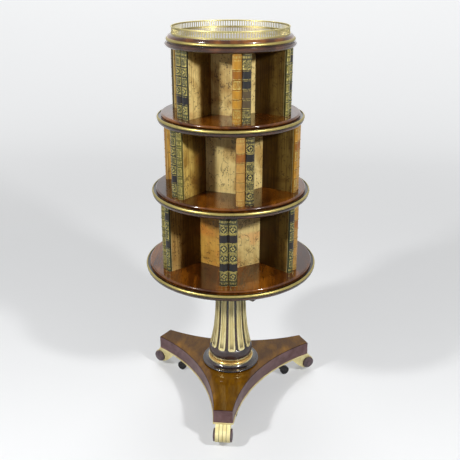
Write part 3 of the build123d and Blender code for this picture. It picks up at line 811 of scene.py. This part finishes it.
def boardPieces(tier):
    low, high = (z.z for z in span(f"{tier}_core"))
    core, reach = tierReach[tier]
    seat = core - plan["root"] / sqrt(3) - plan["panelThick"]
    face = reach - plan["bulge"]
    apothem = core * cos(pi / 6)
    half = (core - 2 * plan["root"] / sin(pi / 3)) / 2 - plan["panelGap"]
    boards = Draft("paper", "hide", "aged")
    panels = Draft("paper", "hide", "aged")
    tints = library[tier]
    for k in range(plan["count"]):
        angle = plan["front"] + tierTurn[tier] + 60 * k
        for side, pick in ((-1, 2 * k), (1, 2 * k + 1)):
            outline = [
                (seat, side * (plan["root"] - plan["boardThick"])),
                (face, side * (plan["halfWidth"] - plan["boardThick"])),
                (face, side * plan["halfWidth"]),
                (seat, side * plan["root"]),
            ]
            hide = bindings[tints["books"][pick]]["hide"]
            slab(boards, outline, low, high, angle, paper=tints["boards"][pick], hide=hide, aged=(1, 1, 1))
        outline = [
            (apothem - plan["panelThick"], -half),
            (apothem - plan["panelThick"], half),
            (apothem, half),
            (apothem, -half),
        ]
        plain = {"paper": tints["papers"][k], "hide": rosewood["body"], "aged": (0, 0, 0)}
        slab(panels, outline, low, high, angle + 30, plan["pastStrip"], **plain)
    body = f"{tier}_tier"
    boards.piece(f"{tier}MarbledBoards", marbledPaper, body, "marbled_board", [f"{tier}_boards"])
    panels.piece(f"{tier}MarbledPanels", marbledPaper, body, "marbled_board", [f"{tier}_core_panels"])


def spineRows(height, zones):  # (low, high, rise at each, zone letter or None for a raised band)
    first, pitch, count = spineLook["firstBand"], spineLook["bandPitch"], spineLook["bandCount"]
    bands = [height * (first + pitch * i) for i in range(count)]
    edges = [0.0, height * spineLook["edgeShare"], *bands, height * (1 - spineLook["edgeShare"]), height]
    half = spineLook["bandHalf"]
    rows = []
    for i, letter in enumerate(zones):
        low, high = edges[i], edges[i + 1]
        low += half if low in bands else 0
        high -= half if high in bands else 0
        rows.append((low, high, 0.0, 0.0, letter))
        if edges[i + 1] in bands:
            rows.append((high, high + half * 0.5, 0.0, 0.8, None))
            rows.append((high + half * 0.5, high + half * 1.5, 0.8, 0.8, None))
            rows.append((high + half * 1.5, high + half * 2, 0.8, 0.0, None))
    return rows


def spinePieces(tier):
    low, high = (z.z for z in span(f"{tier}_core"))
    height = high - low
    face = tierReach[tier][1] - plan["bulge"]
    chord = (plan["halfWidth"] - plan["jointGap"]) / 2
    bow = (chord ** 2 + plan["bulge"] ** 2) / (2 * plan["bulge"])
    steps = spineLook["arcSteps"]
    draft = Draft("ground", "tool")
    for k in range(plan["count"]):
        angle = plan["front"] + tierTurn[tier] + 60 * k
        for side, title in zip((-1, 1), library[tier]["books"][2 * k:2 * k + 2]):
            book = bindings[title]
            centre = side * (plan["jointGap"] + chord)

            def ridge(step, rise):
                share = step / steps * 2 - 1
                lift = sqrt(bow ** 2 - (share * chord) ** 2) - bow + plan["bulge"]
                lift += rise * spineLook["bandRise"] * (1 - share ** 6)
                return face + max(lift, 0.0002 * (1 - abs(share))), centre + share * chord

            for bottom, top, riseLow, riseHigh, letter in spineRows(height, book["zones"]):
                source, tool = zoneLook[letter]
                ground = book.get(source, book["hide"])
                for s in range(steps):
                    quad = [(s, riseLow, bottom, 0), (s + 1, riseLow, bottom, 0)]
                    quad += [(s + 1, riseHigh, top, 1), (s, riseHigh, top, 1)]
                    corners = [turned(*ridge(i, rise), low + z, angle) for i, rise, z, v in quad]
                    uvs = [(i / steps, v if letter else 0.5) for i, rise, z, v in quad]
                    draft.face(corners, uvs, ground=ground, tool=tool)
            plain = {"ground": book["hide"], "tool": (0, 0, 0)}
            for z in (0.0, height):
                rim = [turned(*ridge(i, 0), low + z, angle) for i in range(steps + 1)]
                draft.face(rim, [(i / steps, 0.5) for i in range(steps + 1)], **plain)
            outline = ((0, 0), (0, height), (steps, height), (steps, 0))
            back = [turned(*ridge(i, 0), low + z, angle) for i, z in outline]
            draft.face(back, [(0, 0.5)] * 4, **plain)
    body, stands = f"{tier}_tier", [f"{tier}_spines"]
    draft.piece(f"{tier}FalseSpines", spineLeather, body, "spine_leather", stands, smooth=True)


for tierName in library:
    boardPieces(tierName)
    spinePieces(tierName)
print("marbled boards and spines ready")


# Pierced gallery: bars with a small arch between each pair, set round the foot rail.
gallery = {
    "bars": 144,
    "barWidth": 0.0026,
    "barThick": 0.0012,
    "archRise": 0.0022,
    "railInset": 0.002,  # the bars' circle lies this far inside the rail's outer edge
}


def barMesh(low, high, pitch):  # one bar with half an arch on both sides, facing +X
    half, thick = gallery["barWidth"] / 2, gallery["barThick"] / 2
    spring = high - gallery["archRise"]
    side = [(half, low), (half, spring), (pitch * 0.36, high - gallery["archRise"] * 0.35), (pitch / 2, high)]
    outline = side + [(-y, z) for y, z in reversed(side)]
    mesh = bpy.data.meshes.new("galleryBar")
    count = len(outline)
    points = [(x, y, z) for x in (-thick, thick) for y, z in outline]
    walls = [(i, (i + 1) % count, (i + 1) % count + count, i + count) for i in range(count)]
    fronts = [(0, 1, count - 2, count - 1), (1, 2, count - 3, count - 2), (2, 3, count - 4, count - 3)]
    fronts += [tuple(i + count for i in reversed(face)) for face in fronts]
    mesh.from_pydata(points, [], walls + fronts)
    shape = bmesh.new()
    shape.from_mesh(mesh)
    bmesh.ops.recalc_face_normals(shape, faces=shape.faces)
    shape.to_mesh(mesh)
    shape.free()
    return mesh


def ringTree(name, material):  # instances of one object round a circle
    tree = bpy.data.node_groups.new(name, "GeometryNodeTree")
    for label, kind in (("Bar", "Object"), ("Count", "Int"), ("Radius", "Float"), ("Centre", "Vector")):
        tree.interface.new_socket(label, in_out="INPUT", socket_type="NodeSocket" + kind)
    tree.interface.new_socket("Geometry", in_out="OUTPUT", socket_type="NodeSocketGeometry")
    graph = Graph(tree)
    given = tree.nodes.new("NodeGroupInput")
    bar, count, radius, centre = [Wire(graph, given.outputs[i]) for i in range(4)]
    points = graph.add("GeometryNodePoints", None, {"Count": count})
    index = graph.add("GeometryNodeInputIndex")
    turn = index * (2 * pi) / count
    circle = {0: graph.math("COSINE", turn) * radius, 1: graph.math("SINE", turn) * radius}
    spot = graph.add("ShaderNodeCombineXYZ", None, circle)
    spot = graph.add("ShaderNodeVectorMath", {"operation": "ADD"}, {0: spot, 1: centre})
    placed = graph.add("GeometryNodeSetPosition", None, {"Geometry": points, "Position": spot})
    shape = graph.add("GeometryNodeObjectInfo", None, {"Object": bar}, "Geometry")
    facing = graph.add("ShaderNodeCombineXYZ", None, {2: turn})
    spread = {"Points": placed, "Instance": shape, "Rotation": facing}
    copies = graph.add("GeometryNodeInstanceOnPoints", None, spread)
    solid = graph.add("GeometryNodeRealizeInstances", None, {0: copies})
    done = graph.add("GeometryNodeSetMaterial", None, {"Geometry": solid, "Material": material})
    out = tree.nodes.new("NodeGroupOutput")
    tree.links.new(done.socket, out.inputs[0])
    return tree


def grown(name, tree, values):  # the tree's result as a plain mesh object
    holder = bpy.data.objects.new(name + "Holder", bpy.data.meshes.new(name + "Holder"))
    bpy.context.scene.collection.objects.link(holder)
    modifier = holder.modifiers.new("grow", "NODES")
    modifier.node_group = tree
    for item in tree.interface.items_tree:
        if item.in_out == "INPUT" and item.name in values:
            modifier[item.identifier] = values[item.name]
    settled = holder.evaluated_get(bpy.context.evaluated_depsgraph_get())
    mesh = bpy.data.meshes.new_from_object(settled)
    mesh.name = name
    holder.modifiers.remove(modifier)
    bpy.data.objects.remove(holder)
    piece = bpy.data.objects.new(name, mesh)
    bpy.context.scene.collection.objects.link(piece)
    return piece


footLow, footHigh = span("gallery_foot")
rimLow = span("gallery_rim")[0]
railRadius = (footHigh.x - footLow.x) / 2 - gallery["railInset"]
barPitch = 2 * pi * railRadius / gallery["bars"]
barObject = bpy.data.objects.new("galleryBarShape", barMesh(footHigh.z, rimLow.z, barPitch))
bpy.context.scene.collection.objects.link(barObject)
bars = grown(
    "galleryBars",
    ringTree("galleryRing", galleryBrass),
    {"Bar": barObject, "Count": gallery["bars"], "Radius": railRadius, "Centre": (axis.x, axis.y, 0.0)},
)
bpy.data.objects.remove(barObject)
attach(bars, "upper_tier")
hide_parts("gallery_bars")
print("gallery ready")

# Floor, light and camera.
stage = {
    "tint": (0.58, 0.585, 0.59),
    "mottle": (0.5, 0.5, 0.5),
    "dim": (0.18, 0.18, 0.18),  # the floor's colour for bounced light
    "glow": 0.30,
    "glowTint": (0.98, 0.99, 1.0),
    "wallGlow": 0.12,
    "haze": 0.42,
    "size": 9.0,
    "wall": 4.5,
    "sweep": 1.6,
    "bendSteps": 12,
}
bendStart = stage["wall"] - stage["sweep"]
profile = [(-stage["size"], 0.0), (bendStart, 0.0)]
for step in range(1, stage["bendSteps"] + 1):
    bend = step / stage["bendSteps"] * pi / 2
    profile.append((bendStart + sin(bend) * stage["sweep"], (1 - cos(bend)) * stage["sweep"]))
profile.append((stage["wall"], stage["size"]))
sweep = bpy.data.meshes.new("studioSweep")
sweepPoints = [(x, y, z) for y, z in profile for x in (-stage["size"], stage["size"])]
sweepFaces = [(2 * i, 2 * i + 1, 2 * i + 3, 2 * i + 2) for i in range(len(profile) - 1)]
sweep.from_pydata(sweepPoints, [], sweepFaces)
sweep.polygons.foreach_set("use_smooth", [True] * len(sweep.polygons))
ground = bpy.data.objects.new("studioSweep", sweep)
bpy.context.scene.collection.objects.link(ground)


def seenRays(graph):  # 1 for what the camera or a reflection shows, 0 for light that bounces on
    kinds = ("Camera", "Glossy", "Transmission")
    sees = [graph.add("ShaderNodeLightPath", output=f"Is {kind} Ray") for kind in kinds]
    return graph.math("MINIMUM", sees[0] + sees[1] + sees[2], 1.0)


def sweepBuild(graph):
    seen = seenRays(graph)
    x, y, z = graph.axes()
    far = graph.ease((x * x + y * y) ** 0.5, 0.5, 5.0, 0.0, stage["haze"])
    glow = graph.ease(z, 0.0, 2.0, 0.0, stage["wallGlow"]) + far + stage["glow"]
    speck = graph.noise(graph.place(), 3.0, 2.0)
    pale = graph.mix(graph.ease(speck, 0.3, 0.7) * 0.04, stage["tint"], stage["mottle"])
    return {
        "Base Color": graph.mix(seen, stage["dim"], pale),
        "Emission Color": graph.mix(seen * glow, (0, 0, 0), stage["glowTint"]),
    }


paleSweep = surface("paleSweep", sweepBuild, Roughness=0.9, Specular_IOR_Level=0.1, Emission_Strength=1.0)
sweep.materials.append(paleSweep)

lamps = {  # azimuth from the camera's side, distance along the floor, height, size, watts
    "leftBox": (-52, 2.16, 1.95, 0.22, 50),
    "rightBox": (42, 2.16, 1.95, 0.22, 50),
    "rearBox": (180, 1.5, 2.9, 1.4, 26),
}
aimHeight = 0.75
viewTurn = 4.59  # the photograph looks from this far to the right of the front arm
for lampName, (azimuth, away, height, size, watts) in lamps.items():
    light = bpy.data.lights.new(lampName, "AREA")
    light.energy = watts
    light.size = size
    lamp = bpy.data.objects.new(lampName, light)
    a = radians(-90 + viewTurn + azimuth)
    lamp.location = (axis.x + cos(a) * away, axis.y + sin(a) * away, height)
    lamp.rotation_euler = (pi / 2 - atan2(height - aimHeight, away), 0, a + pi / 2)
    bpy.context.scene.collection.objects.link(lamp)

world = bpy.data.worlds.new("studio")
bpy.context.scene.world = world
world.use_nodes = True
worldLook = {"tint": (0.95, 0.97, 1.0, 1.0), "fill": 0.06, "seen": 0.80}
background = world.node_tree.nodes["Background"]
background.inputs[0].default_value = worldLook["tint"]
worldGraph = Graph(world.node_tree)
strength = worldGraph.ease(seenRays(worldGraph), 0.0, 1.0, worldLook["fill"], worldLook["seen"])
world.node_tree.links.new(strength.socket, background.inputs[1])

camera = {"distance": 2.0615, "height": 1.4695, "pitch": 22.29, "lens": 52.89, "shiftX": -0.0014}
lens = bpy.data.cameras.new("camera")
lens.lens = camera["lens"]
lens.sensor_width = 36.0
lens.shift_x = camera["shiftX"]
eye = bpy.data.objects.new("camera", lens)
turnHere = radians(-90 + viewTurn)
eye.location = (
    axis.x + camera["distance"] * cos(turnHere),
    axis.y + camera["distance"] * sin(turnHere),
    camera["height"],
)
eye.rotation_euler = (radians(90 - camera["pitch"]), 0, radians(viewTurn))
bpy.context.scene.collection.objects.link(eye)
bpy.context.scene.camera = eye
bpy.context.scene.view_settings.view_transform = "Standard"
print("stage and camera ready")
